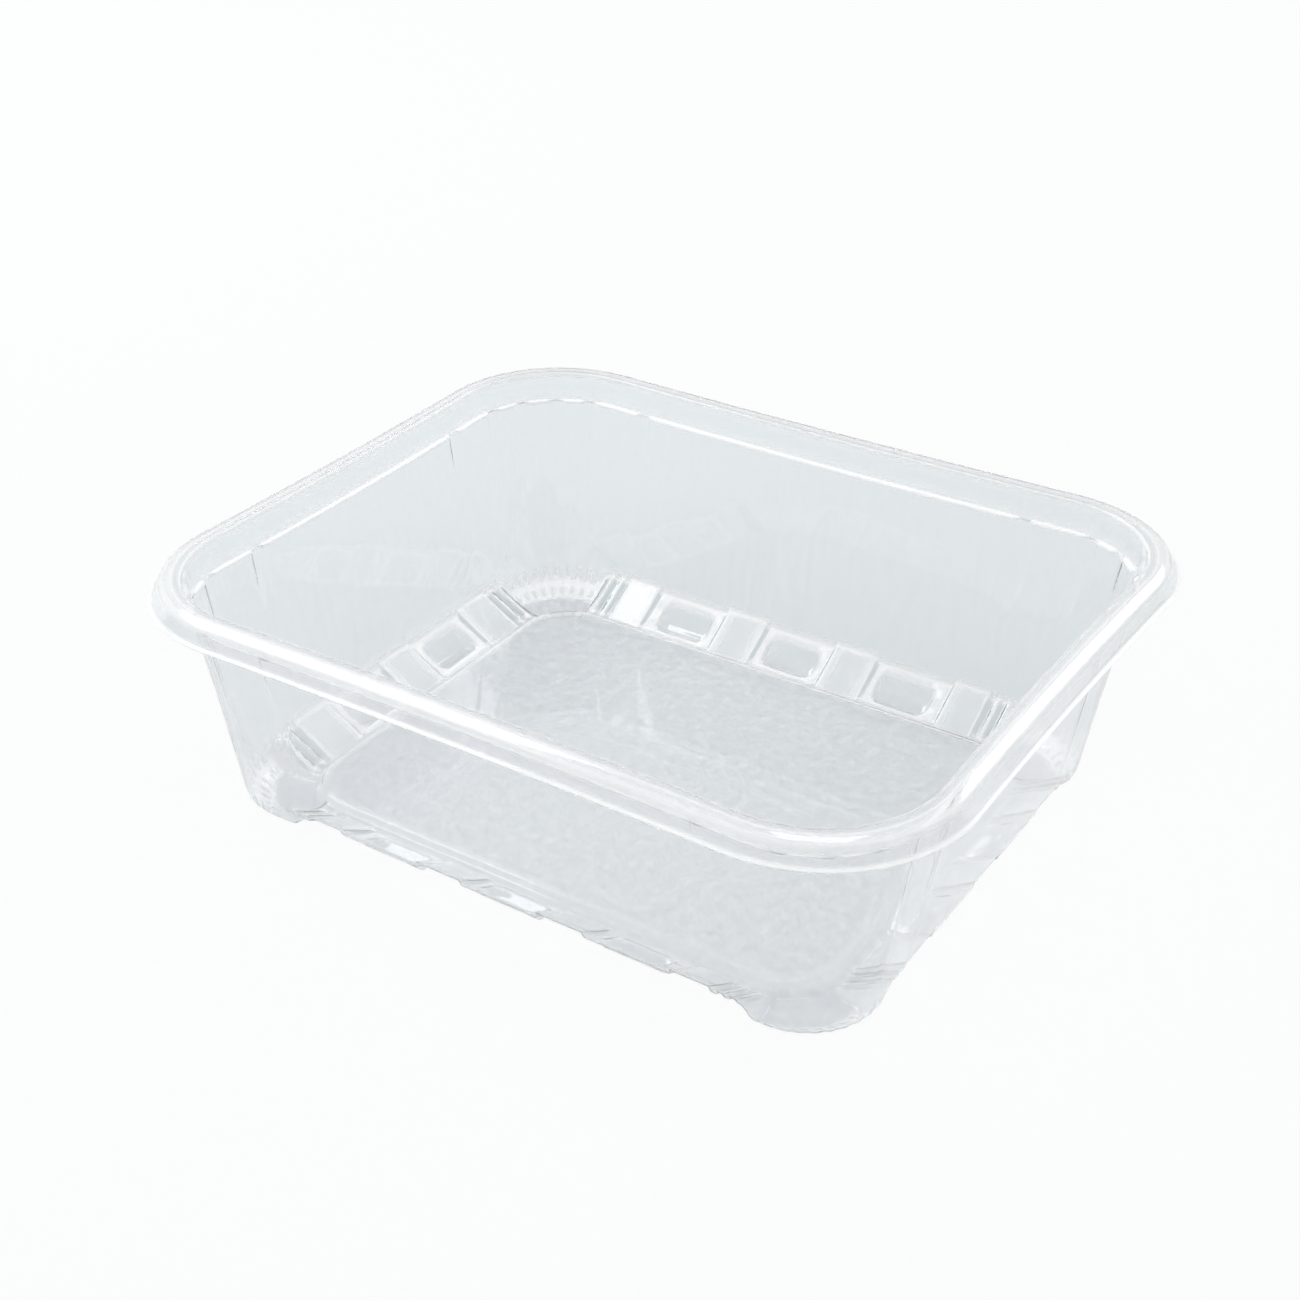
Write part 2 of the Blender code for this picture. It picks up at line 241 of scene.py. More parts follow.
@dataclass
class RimSection:
    """The skirt, flange, collar and ledge: everything above the walls.

    An inset is measured inwards from the rim's outer top edge.
    """

    length: float = 189.7
    width: float = 158.5
    corner: float = 33.0
    height: float = 59.7
    draw_in: float = 1.9
    flange_inset: float = 5.0
    collar_inset: float = 5.9
    ledge_inset: float = 6.9
    ledge_height: float = 52.5
    crown_drop: float = 0.7
    runs: list[Run] = field(
        default_factory=lambda: [
            Run((0.45,), 0, (0.2,)),
            Run((0.2,), 2, (0.8, 0.4)),
            Run((0.4, 0.8), 0, ()),
            Run((), 1, ()),
            Run((), 1, (0.7, 0.35)),
            Run((0.35, 0.7), 2, (0.5, 0.2)),
            Run((0.2,), 0, (0.45, 0.2)),
            Run((0.2, 0.45, 0.8), 0, ()),
        ]
    )
    # White lines on the rim's bends by inset: partly stress whitening, partly painted highlight.
    hazes_and_highlights: dict[float, float] = field(
        default_factory=lambda: {
            -2.6: 0.7, -2.2: 0.8, -1.75: 0.5, -1.6: 0.08, -0.7: 0.1, -0.3: 0.5, 0.4: 0.5,
            1.2: 0.35, 1.8: 0.1, 2.4: 0.4, 3.0: 0.4, 3.5: 0.03, 4.3: 0.05, 4.6: 0.5, 4.75: 0.8, 5.0: 0.8, 5.1: 0.3,
            5.2: 0.02, 5.8: 0.02, 5.9: 0.9, 6.9: 1.0, 6.99: 0.9, 7.04: 0.0,
        }
    )

    def outline(self, inset: float) -> Outline:
        """The rim's outline, brought in by an inset that may be negative."""
        return Outline(self.length / 2 - inset, self.width / 2 - inset, self.corner - inset, self.draw_in)

    def profile(self) -> np.ndarray:
        """The rings from the skirt's lip to the top of the wall, as inset and height."""
        bends = [
            Bend(-2.6, 55.4, 0.0),
            Bend(-1.75, 55.8, 0.35),
            Bend(0.0, self.height - self.crown_drop, 1.1),
            Bend(1.4, self.height - 0.35 * self.crown_drop, 1.5),
            Bend(2.7, self.height, 1.5),
            Bend(self.flange_inset, self.height, 0.7),
            Bend(self.collar_inset, self.ledge_height, 0.3),
            Bend(self.ledge_inset, self.ledge_height, 0.5),
            Bend(self.ledge_inset + 0.36, self.ledge_height - 2.0, 0.0),
        ]
        return draw_profile(bends, self.runs)

    def haze_and_highlight(self, inset: float) -> float:
        """How white the sheet is at an inset, on the rim's bends: partly stress whitening where it was stretched over
        the mould's edges, partly painted highlight.
        """
        return float(np.interp(inset, list(self.hazes_and_highlights), list(self.hazes_and_highlights.values())))


@dataclass
class CornerFlutes:
    """The narrow flutes that part the corner's panels and break the stacking ledge.

    Args:
        long_place: X of the flute near the long side's end.
        short_place: Y of the flute near the short side's end.
        shares: Shares of the way round the corner of the other flutes.
        width: Width of a flute at the ledge.
        depth: Depth of a flute at the ledge.
        edge_width: Width over which a flute's side eases into the panel.
        low_share: Share of that depth left at the heel.
    """

    long_place: float = 52.5
    short_place: float = 36.5
    shares: tuple[float, ...] = (0.224, 0.42, 0.617, 0.812)
    width: float = 3.0
    depth: float = 0.6
    edge_width: float = 2.2
    low_share: float = 0.1

    def amount(self, station: Station) -> float:
        """How much of a flute's depth a station has, from 0 to 1."""
        corner_length = 46.9
        if station.side is Side.CORNER:
            distances = [abs(station.place - share) * corner_length for share in self.shares]
        else:
            middle = self.long_place if station.side is Side.LONG else self.short_place
            distances = [abs(station.place - middle)]
        return float(smooth((self.width / 2 - min(distances)) / self.edge_width + 0.5))

    def centres(self, side: Side) -> list[float]:
        """The middles of the flutes on a side."""
        if side is Side.CORNER:
            return list(self.shares)
        return [self.long_place if side is Side.LONG else self.short_place]


@dataclass
class HeelBand:
    """The castellated band where the walls turn into the base, with its feet.

    A reach is measured outwards from the edge of the floor panel.
    """

    floor_length: float = 133.2
    floor_width: float = 101.9
    floor_corner: float = 13.0
    floor_height: float = 3.3
    sole_height: float = 0.45
    reach: float = 13.3
    height: float = 7.5
    corner: float = 16.0
    ring_height: float = 2.0
    pitch: float = 31.3
    block_width: float = 11.9
    end_block_width: float = 9.7
    pocket_width: float = 14.9
    pocket_round: float = 2.4
    edge_width: float = 0.6
    rib_offsets: tuple[float, ...] = (2.2, 5.1)
    rib_width: float = 1.7
    rib_rise: float = 0.6
    bead_count: int = 9
    bead_size: float = 0.22
    # Painted highlight, partly stress whitening, on the webs and on the step, and painted shade, a darker tint, on the
    # blocks' sides.
    web_haze_and_highlight: float = 0.92
    side_shade: float = 0.7
    step_haze_and_highlight: float = 0.5
    runs: list[Run] = field(
        default_factory=lambda: [
            Run((), 1, (0.4,)),
            Run((0.4,), 5, ()),
            Run((), 3, (0.35,)),
            Run((0.35,), 0, (0.25,)),
            Run((0.25,), 0, (0.35,)),
            Run((0.35,), 0, ()),
        ]
    )

    def outline(self, reach: float) -> Outline:
        """The base's outline at a reach, whose corners open out from floor to heel."""
        corner = self.floor_corner + (self.corner - self.floor_corner) * reach / self.reach
        return Outline(self.floor_length / 2 + reach, self.floor_width / 2 + reach, corner)

    def profiles(self, wall_slope: float) -> dict[Form, np.ndarray]:
        """The rings of each moulded form down the heel.

        Args:
            wall_slope: How far the wall draws in for each millimetre of its height.

        Returns:
            One profile for each form, as reach and height, all with as many rings.
        """
        top = self.height + 3.5
        wall_top = Bend(self.reach + 3.5 * wall_slope, top, 0.0)
        step = [Bend(0.9, self.ring_height, 0.3), Bend(0.1, self.floor_height, 0.4)]
        floor = Bend(-2.0, self.floor_height, 0.0)
        bends = {
            Form.WEB: [
                wall_top,
                Bend(self.reach + 0.05, self.height - 0.1, 0.8),
                Bend(7.9, 4.4, 0.8),
                Bend(3.3, self.ring_height, 0.5),
                *step,
                floor,
            ],
            Form.BLOCK: [
                wall_top,
                Bend(self.reach + 0.25, self.height + 1.1, 0.5),
                Bend(7.9, 5.15, 0.8),
                Bend(2.6, self.ring_height, 0.5),
                *step,
                floor,
            ],
            Form.POCKET: [
                wall_top,
                Bend(self.reach + 0.05, self.height - 0.1, 0.8),
                Bend(7.2, 1.0, 0.9),
                Bend(3.6, self.ring_height, 0.5),
                *step,
                floor,
            ],
            Form.FOOT: [
                wall_top,
                Bend(13.0, 4.5, 3.0),
                Bend(8.7, self.sole_height, 2.0),
                Bend(4.6, self.sole_height, 0.5),
                Bend(1.5, self.sole_height, 0.8),
                Bend(0.1, self.floor_height, 0.4),
                floor,
            ],
        }
        return {form: draw_profile(bend, self.runs) for form, bend in bends.items()}

    def panel_end(self, side: Side) -> float:
        """Where a side's last block ends."""
        if side is Side.LONG:
            return 1.5 * self.pitch + self.end_block_width / 2
        return self.pitch + self.block_width / 2

    def blocks(self, side: Side) -> list[tuple[float, float]]:
        """The middle and width of each raised block or rib of half a side."""
        ribs = [(self.panel_end(side) + offset, self.rib_width) for offset in self.rib_offsets]
        if side is Side.LONG:
            return [(self.pitch / 2, self.block_width), (1.5 * self.pitch, self.end_block_width), *ribs]
        return [(0.0, self.block_width), (self.pitch, self.block_width), *ribs]

    def pockets(self, side: Side) -> list[float]:
        """The middle of each rounded pocket of half a side."""
        return [0.0, self.pitch] if side is Side.LONG else [self.pitch / 2]

    def block_amount(self, station: Station) -> float:
        """How much of a block's rise a station has, from 0 to 1."""
        if station.side is Side.CORNER:
            return 0.0
        rise = self.rib_rise if station.place > self.panel_end(station.side) + 0.5 else 1.0
        return rise * float(smooth(self.edge_distance(station) / self.edge_width + 0.5))

    def edge_distance(self, station: Station) -> float:
        """Millimetres from the nearest edge of a block or rib, positive inside it."""
        return max(width / 2 - abs(station.place - middle) for middle, width in self.blocks(station.side))

    def pocket_depths(self, station: Station, along: np.ndarray) -> np.ndarray:
        """Millimetres of each ring from the nearest pocket's edge, positive inside it.

        Args:
            station: The place on the quarter.
            along: Millimetres down the band for each ring, from 0 at its crest.

        Returns:
            One distance for each ring.
        """
        if station.side is Side.CORNER:
            return np.full(len(along), -9.0)
        inside = max(self.pocket_width / 2 - abs(station.place - m) for m in self.pockets(station.side))
        from_ends = np.minimum(along - 0.9, 10.9 - along)
        short_x = max(self.pocket_round - inside, 0.0)
        short_y = np.maximum(self.pocket_round - from_ends, 0.0)
        return np.where(
            (short_x > 0) & (short_y > 0),
            self.pocket_round - np.hypot(short_x, short_y),
            np.minimum(inside, from_ends),
        )

    def in_slot(self, station: Station) -> float:
        """How much a station lies in a narrow slot beside a rib, from 0 to 1."""
        if station.side is Side.CORNER or station.place < self.panel_end(station.side):
            return 0.0
        return float(smooth(-self.edge_distance(station) / 0.3))

    def haze_and_highlight(self, station: Station, along: np.ndarray, spots: np.ndarray) -> np.ndarray:
        """How white each ring is: on the webs, inside the blocks' edges, along the crest and on the toes, partly stress
        whitening and partly painted highlight.

        Args:
            station: The place on the quarter.
            along: Millimetres down the band for each ring, from 0 at its crest.
            spots: Each ring's reach and height there.

        Returns:
            One share for each ring, and below 0 on the blocks' upright sides and in the slots by the ribs, where it
            asks for painted shade, a darker tint.
        """
        reaches, heights = spots.T
        on_step = self.step_haze_and_highlight * smooth((1.2 - reaches) / 0.3) * smooth((reaches + 0.6) / 0.3)
        on_band = smooth((along + 0.9) / 0.6) * smooth((12.2 - along) / 0.8)
        if station.side is Side.CORNER:
            foot = self.foot_amount(station)
            dots = np.array([self.bead_depth(*spot) for spot in spots]) / self.bead_size
            # Painted highlight on the toe, broken where the beads are.
            on_toe = smooth((reaches - 6.0) / 1.0) * smooth((heights - 0.6) / 0.6)
            on_toe = on_toe * smooth((8.2 - heights) / 1.2)
            toe = on_toe * (1 - smooth(1.4 * dots * self.bead_amount(station)))
            on_step = on_step * (1 - 0.6 * foot)
            return np.maximum(on_step, (1 - foot) * self.web_haze_and_highlight * on_band + foot * toe)
        edge = self.edge_distance(station)
        # Painted highlight, partly stress whitening: on the webs, just inside the blocks' edges and along the crest.
        web = smooth((-edge - 0.6) / 0.4) * (1 - smooth((self.pocket_depths(station, along) - 0.1) / 0.9))
        rim = smooth((edge - 0.15) / 0.2) * max(smooth((1.2 - edge) / 0.5), 0.15)
        crest = smooth((1.3 - along) / 0.6)
        hazed_and_highlit = np.maximum(on_step, self.web_haze_and_highlight * on_band * np.maximum(np.maximum(web, rim), crest))
        # Painted shade: dark lines on the blocks' sides and in the slots by the ribs.
        side = self.side_shade * smooth((0.45 - abs(edge + 0.1)) / 0.2)
        slot = self.in_slot(station) * smooth((-edge - 0.2) / 0.1)
        if station.place > self.panel_end(station.side) + self.rib_offsets[-1]:
            side = 0.0
        steep_shade = max(side, slot) * smooth((along - 0.6) / 0.6) * smooth((10.9 - along) / 0.6)
        return np.where(steep_shade > 0.1, -steep_shade, hazed_and_highlit)

    def foot_amount(self, station: Station) -> float:
        """How much of the foot a station has, from 0 to 1."""
        if station.side is not Side.CORNER:
            return 0.0
        return float(smooth(min(station.place, 1 - station.place) / 0.085))

    def bead_amount(self, station: Station) -> float:
        """How much of a bead's depth a station has, from 0 to 1."""
        if station.side is not Side.CORNER:
            return 0.0
        turn = (station.place - 0.1) / 0.8 * self.bead_count
        if not 0 <= turn <= self.bead_count:
            return 0.0
        return float(0.5 - 0.5 * math.cos(2 * math.pi * turn))

    def bead_depth(self, reach: float, height: float) -> float:
        """How deep the two rows of beads on a foot's toe are at a reach and height."""
        row = (height - 0.7) / 2.6
        if reach < 6.0 or not 0 < row < 2:
            return 0.0
        return self.bead_size * (0.5 - 0.5 * math.cos(2 * math.pi * row))


@dataclass(frozen=True)
class ClearPet:
    """Clear PET sheet, drawn over a mould: glossy, faintly grey, gently uneven, with painted highlight and painted
    shade on its bends.

    Args:
        tint: Colour of light that has passed a face of the sheet.
        steep_shade_tint: Painted shade: the darker tint for the blocks' upright sides and the slots by the ribs, where
            the attribute is below 0.
        shade: Colour of lamp light that has passed one face, for the tray's shadow.
        frost_and_highlight: Colour of the white on the bends: partly stress whitening where the hot sheet was stretched
            round a bend, partly painted highlight.
        frost_and_highlight_share: How much of that white the sharpest bends have.
        frost_and_highlight_passing: How much of the light in that white comes through the sheet.
        streak_share: How much haze the streaks that run up the drawn walls have.
        mottle_share: How much haze the undrawn floor panel has at most, in specks.
        streak_mm: How wide those streaks and specks are.
        streak_length_mm: How long those streaks are.
        roughness: Of a drawn sheet that never touched the mould on this side.
        ior: Of amorphous PET.
        wave_mm: Distance between the slow waves that drawing leaves in the sheet.
        wave_depth_mm: How deep the shader makes those waves.
    """

    tint: str = "#FDFDFE"
    # Painted shade for the blocks' sides and the rib slots.
    steep_shade_tint: str = "#E0E5E7"
    shade: str = "#FCFCFD"
    # Painted highlight, partly stress whitening: the white of the bends.
    frost_and_highlight: str = "#FCFDFD"
    frost_and_highlight_share: float = 0.9
    frost_and_highlight_passing: float = 0.15
    streak_share: float = 0.02
    mottle_share: float = 0.06
    streak_mm: float = 2.5
    streak_length_mm: float = 90.0
    roughness: float = 0.03
    ior: float = 1.57
    wave_mm: float = 14.0
    wave_depth_mm: float = 0.05

    def material(self, name: str) -> bpy.types.Material:
        """Builds the material.

        Args:
            name: The material's name.

        Returns:
            A glass-like Principled shader that lets lamp light through for shadows.
        """
        material = bpy.data.materials.new(name)
        material.use_nodes = True
        tree = material.node_tree
        shader = tree.nodes["Principled BSDF"]
        haze_and_highlight = add_node(tree, "ShaderNodeAttribute", {"attribute_name": "haze_and_highlight"})
        # Painted shade: below 0 the attribute turns the tint darker, on the blocks' sides and in the rib slots.
        steep_shade = add_node(tree, "ShaderNodeMapRange", {1: 0.0, 2: -1.0}, {0: haze_and_highlight.outputs["Fac"]})
        tints = {"data_type": "RGBA", 6: hex_to_linear(self.tint), 7: hex_to_linear(self.steep_shade_tint)}
        tint = add_node(tree, "ShaderNodeMix", tints, {0: steep_shade.outputs[0]})
        tree.links.new(tint.outputs[2], shader.inputs["Base Color"])
        shader.inputs["Roughness"].default_value = self.roughness
        shader.inputs["IOR"].default_value = self.ior
        shader.inputs["Transmission Weight"].default_value = 1.0
        where = add_node(tree, "ShaderNodeTexCoord")
        waves = add_node(
            tree,
            "ShaderNodeTexNoise",
            {"Scale": 1 / (self.wave_mm * MM), "Detail": 1.0, "Roughness": 0.4},
            {"Vector": where.outputs["Object"]},
        )
        height = add_node(tree, "ShaderNodeSeparateXYZ", links={0: where.outputs["Object"]})
        calm = add_node(tree, "ShaderNodeMapRange", {1: 0.042, 2: 0.052, 3: 1.0, 4: 0.1}, {0: height.outputs["Z"]})
        bump = add_node(
            tree,
            "ShaderNodeBump",
            {"Distance": self.wave_depth_mm * MM},
            {"Height": waves.outputs["Fac"], "Strength": calm.outputs[0]},
        )
        tree.links.new(bump.outputs["Normal"], shader.inputs["Normal"])
        clouded_and_highlit = self.clouded_and_highlit(tree, shader.outputs[0])
        passing = add_node(tree, "ShaderNodeBsdfTransparent", {"Color": hex_to_linear(self.shade)})
        path = add_node(tree, "ShaderNodeLightPath")
        mix = add_node(
            tree,
            "ShaderNodeMixShader",
            links={0: path.outputs["Is Shadow Ray"], 1: clouded_and_highlit, 2: passing.outputs[0]},
        )
        tree.links.new(mix.outputs[0], tree.nodes["Material Output"].inputs["Surface"])
        return material

    def clouded_and_highlit(self, tree: bpy.types.NodeTree, clear: bpy.types.NodeSocket) -> bpy.types.NodeSocket:
        """Whitens the clear sheet where it bends: partly stress whitening, partly painted highlight.

        Args:
            tree: The material's nodes.
            clear: The clear sheet's shader.

        Returns:
            The shader with that white in it.
        """
        # A white matt shader, mixed in by the attribute on the bends: partly stress whitening, partly painted
        # highlight.
        colour = hex_to_linear(self.frost_and_highlight)
        front = add_node(tree, "ShaderNodeBsdfDiffuse", {"Color": colour})
        back = add_node(tree, "ShaderNodeBsdfTranslucent", {"Color": colour})
        haze_and_highlight = add_node(tree, "ShaderNodeMixShader", {0: self.frost_and_highlight_passing}, {1: front.outputs[0], 2: back.outputs[0]})
        bend = add_node(tree, "ShaderNodeAttribute", {"attribute_name": "haze_and_highlight"})
        where = add_node(tree, "ShaderNodeTexCoord")
        across, along = 1 / (self.streak_mm * MM), 1 / (self.streak_length_mm * MM)
        drawn = add_node(tree, "ShaderNodeMapping", {3: (across, across, along)}, {0: where.outputs["Object"]})
        streaks = add_node(
            tree, "ShaderNodeTexNoise", {"Scale": 1.0, "Detail": 2.0}, {"Vector": drawn.outputs[0]}
        )
        undrawn = add_node(tree, "ShaderNodeAttribute", {"attribute_name": "undrawn"})
        most = add_node(
            tree, "ShaderNodeMapRange", {3: self.streak_share, 4: self.mottle_share}, {0: undrawn.outputs["Fac"]}
        )
        streak = add_node(
            tree, "ShaderNodeMapRange", {1: 0.4, 2: 0.75}, {0: streaks.outputs["Fac"], 4: most.outputs[0]}
        )
        share = add_node(
            tree,
            "ShaderNodeMath",
            {"operation": "MULTIPLY_ADD", 1: self.frost_and_highlight_share},
            {0: bend.outputs["Fac"], 2: streak.outputs[0]},
        )
        mix = add_node(
            tree, "ShaderNodeMixShader", links={0: share.outputs[0], 1: clear, 2: haze_and_highlight.outputs[0]}
        )
        return mix.outputs[0]


@dataclass
class PunnetShell:
    """The whole tray: one sheet from the lip of its skirt to its floor panel."""

    sheet: float = 0.4
    corner_margin: float = 6.7
    rim: RimSection = field(default_factory=RimSection)
    flutes: CornerFlutes = field(default_factory=CornerFlutes)
    heel: HeelBand = field(default_factory=HeelBand)
    finish: ClearPet = field(default_factory=ClearPet)
    wall_heights: tuple[float, ...] = (43.0, 34.0, 25.0, 17.0, 13.0)
    bend_range: tuple[float, float] = (0.2, 1.0)
    # Painted highlight on the bends, partly stress whitening, and the share of it left at the front-right corner, away
    # from the lamps.
    bend_haze_and_highlight: float = 0.35
    front_right_highlight_share: float = 0.25
    rim_undrawn: float = 0.3
    pocket_undrawn: float = 0.3
    sole_undrawn: float = 0.7

    @property
    def long_end(self) -> float:
        """X at which the long side's stations give way to the corner's."""
        return self.heel.panel_end(Side.LONG) + self.corner_margin

    @property
    def short_end(self) -> float:
        """Y at which the corner's stations give way to the short side's."""
        return self.heel.panel_end(Side.SHORT) + self.corner_margin

    @property
    def wall_slope(self) -> float:
        """How far the wall draws in for each millimetre of its height."""
        top, low = self.rim.outline(self.rim.ledge_inset), self.heel.outline(self.heel.reach)
        return (top.half_x - low.half_x) / (self.rim.ledge_height - self.heel.height)

    def side_places(self, side: Side, end: float) -> list[float]:
        """Where the stations of a side stand: close together across each moulded edge.

        Args:
            side: The long or the short side.
            end: Where the corner takes over.

        Returns:
            Places from the side's middle to the corner.
        """
        places = {0.0, end}
        for middle, width in self.heel.blocks(side):
            rib = width == self.heel.rib_width
            for edge, inwards in ((middle - width / 2, 1), (middle + width / 2, -1)):
                steps = (-0.3, -0.1, 0.1, 0.3) if rib else (-0.85, -0.3, -0.1, 0.1, 0.35, 0.9)
                places.update(edge + step * inwards for step in steps)
        for middle in self.heel.pockets(side):
            half = self.heel.pocket_width / 2
            for step in (0.0, 0.45, 0.9, 1.5, 2.4):
                places.update((middle - half + step, middle + half - step))
        for middle in self.flutes.centres(side):
            for edge in (middle - self.flutes.width / 2, middle + self.flutes.width / 2):
                places.update(edge + step for step in (-0.6, -0.2, 0.2, 0.6))
        kept: list[float] = []
        for place in sorted(p for p in places if 0 <= p <= end):
            if kept and place - kept[-1] < 0.19:
                continue
            gap = place - kept[-1] if kept else 0.0
            extra = int(gap // 2.6)
            kept += [kept[-1] + gap * (i + 1) / (extra + 1) for i in range(extra)]
            kept.append(place)
        kept[-1] = end
        return kept

    def quarter(self) -> list[Station]:
        """The stations of the quarter where X and Y are positive, from Y round to X."""
        stations = [Station(Side.LONG, place) for place in self.side_places(Side.LONG, self.long_end)]
        steps = 6 * self.heel.bead_count
        shares = [0.02, 0.04, 0.06, 0.08]
        shares += [0.1 + 0.8 * step / steps for step in range(steps + 1)]
        shares += [1 - share for share in (0.08, 0.06, 0.04, 0.02)]
        stations += [Station(Side.CORNER, share) for share in shares]
        short = self.side_places(Side.SHORT, self.short_end)
        return stations + [Station(Side.SHORT, place) for place in reversed(short)]

    def point(self, outline: Outline, station: Station, height: float, undrawn: float, haze_and_highlight: float) -> tuple[float, ...]:
        """A station's point on an outline, at a height, and its two marks for the finish."""
        x, y = outline.place(station, self.long_end, self.short_end)
        return x, y, height, undrawn, haze_and_highlight

    def wall_outline(self, height: float) -> Outline:
        """The plain wall's outline at a height."""
        top, low = self.rim.outline(self.rim.ledge_inset), self.heel.outline(self.heel.reach)
        share = (self.rim.ledge_height - height) / (self.rim.ledge_height - self.heel.height)
        return top.blend(low, share)

    def grown(self, outline: Outline, by: float) -> Outline:
        """An outline moved outwards, or inwards where by is negative."""
        return Outline(outline.half_x + by, outline.half_y + by, outline.corner + by, outline.draw_in)

    def rim_rings(self, station: Station) -> list[tuple[float, ...]]:
        """A station's points from the lip to low on the wall."""
        flute = self.flutes.amount(station)
        points = []
        for inset, height in self.rim.profile():
            below_collar = max(inset - self.rim.collar_inset, 0.0) * flute
            outline = self.rim.outline(inset - min(below_collar, self.flutes.depth))
            on_ledge = inset > self.rim.collar_inset - 0.2
            # Painted highlight and stress whitening on the rim, weaker where a flute crosses the ledge.
            haze_and_highlight = self.rim.haze_and_highlight(inset) * (1 - 0.7 * flute * on_ledge)
            undrawn = self.rim_undrawn * (inset < self.rim.collar_inset)
            points.append(self.point(outline, station, height, undrawn, haze_and_highlight))
        top = self.rim.ledge_height
        for height in self.wall_heights:
            left = self.flutes.low_share + (1 - self.flutes.low_share) * smooth((height - 12) / (top - 12)) ** 3
            outline = self.grown(self.wall_outline(height), flute * left * self.flutes.depth)
            points.append(self.point(outline, station, height, 0.0, 0.0))
        return points

    def heel_rings(self, station: Station, forms: dict[Form, np.ndarray]) -> list[tuple[float, ...]]:
        """A station's points down the heel to the floor panel.

        Args:
            station: The place on the quarter.
            forms: The profile of each moulded form.

        Returns:
            One point for each ring.
        """
        web = forms[Form.WEB]
        steps = np.linalg.norm(np.diff(web, axis=0), axis=1)
        along = np.concatenate([[0.0], np.cumsum(steps)]) - 3.6
        spots = web + self.heel.block_amount(station) * (forms[Form.BLOCK] - web)
        pocket = smooth(self.heel.pocket_depths(station, along) / 1.2)[:, None]
        spots = spots + pocket * (forms[Form.POCKET] - web)
        foot = self.heel.foot_amount(station)
        spots = spots + foot * (forms[Form.FOOT] - spots)
        bead = self.heel.bead_amount(station) * foot
        points = []
        slot = self.heel.in_slot(station)
        hazes_and_highlights = self.heel.haze_and_highlight(station, along, spots)
        for (reach, height), in_pocket, haze_and_highlight in zip(spots, pocket[:, 0], hazes_and_highlights):
            reach -= bead * self.heel.bead_depth(reach, height)
            if height > self.heel.height:
                beyond = reach - self.heel.reach - (height - self.heel.height) * self.wall_slope
                outline = self.grown(self.wall_outline(height), beyond)
            else:
                outline = self.heel.outline(reach)
            on_sole = foot * float(smooth(9.5 - reach))
            in_slot = slot * (height < self.heel.height + 1.0)
            undrawn = max(self.pocket_undrawn * in_pocket, self.sole_undrawn * on_sole, in_slot)
            points.append(self.point(outline, station, height, undrawn, haze_and_highlight))
        points[-1] = (*points[-1][:3], 1.0, 0.0)
        return points

    def rings(self) -> np.ndarray:
        """All the sheet's points, by ring, then by station round the tray.

        Returns:
            For each point X, Y and height in metres, how much of its thickness the sheet
            kept there, and how white it is, partly stress whitening and partly painted highlight, or below 0 for
            painted shade.
        """
        forms = self.heel.profiles(self.wall_slope)
        quarter = np.array([self.rim_rings(s) + self.heel_rings(s, forms) for s in self.quarter()])
        quarter = quarter.transpose(1, 0, 2) * (MM, MM, MM, 1, 1)
        right = np.concatenate([quarter, quarter[:, -2::-1] * (1, -1, 1, 1, 1)], axis=1)
        return np.concatenate([right, right[:, -2:0:-1] * (-1, 1, 1, 1, 1)], axis=1)

    def build(self) -> bpy.types.Object:
        """Models the sheet.

        Returns:
            The tray as one closed mesh, in its place.
        """
        rings = self.rings()
        tray = extrude_tube("punnet_sheet", rings.shape[1], rings.shape[0])
        place_tube(tray, rings)
        bpy.ops.object.mode_set(mode="EDIT")
        bpy.ops.mesh.select_all(action="SELECT")
        bpy.ops.mesh.normals_make_consistent(inside=False)
        bpy.ops.object.mode_set(mode="OBJECT")
        floor = max(tray.data.polygons, key=lambda face: face.area)
        if floor.normal.z < 0:
            tray.data.flip_normals()
        thicken = tray.modifiers.new("Sheet", "SOLIDIFY")
        thicken.thickness = self.sheet * MM
        thicken.offset = -1.0
        thicken.use_even_offset = True
        thicken.use_quality_normals = True
        bpy.ops.object.modifier_apply(modifier=thicken.name)
        bpy.ops.object.shade_smooth_by_angle(angle=math.radians(50))
        haze_and_highlight_bends(tray, *self.bend_range, self.bend_haze_and_highlight, self.front_right_highlight_share, 12.0)
        return tray

    def dress(self, tray: bpy.types.Object) -> None:
        """Gives the tray its finish and its place in the frame."""
        tray.data.materials.clear()
        tray.data.materials.append(self.finish.material("thermoformed_clear_pet"))
        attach(tray, "root")
        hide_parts("punnet_shell")


def extrude_tube(name: str, stations: int, rings: int) -> bpy.types.Object:
    """Extrudes a circle down into an upright tube and closes its lower end.

    Args:
        name: The object's name.
        stations: How many points go round the tube.
        rings: How many rings it has, one metre apart.

    Returns:
        The tube, selected and active, in object mode.
    """
    bpy.ops.object.select_all(action="DESELECT")
    bpy.ops.mesh.primitive_circle_add(vertices=stations, radius=1.0, location=(0, 0, 0))
    tube = bpy.context.object
    tube.name = name
    bpy.ops.object.mode_set(mode="EDIT")
    bpy.ops.mesh.select_mode(type="EDGE")
    bpy.ops.mesh.select_all(action="SELECT")
    for _ in range(rings - 1):
        bpy.ops.mesh.extrude_region_move(TRANSFORM_OT_translate={"value": (0, 0, -1)})
    bpy.ops.mesh.edge_face_add()
    bpy.ops.object.mode_set(mode="OBJECT")
    return tube


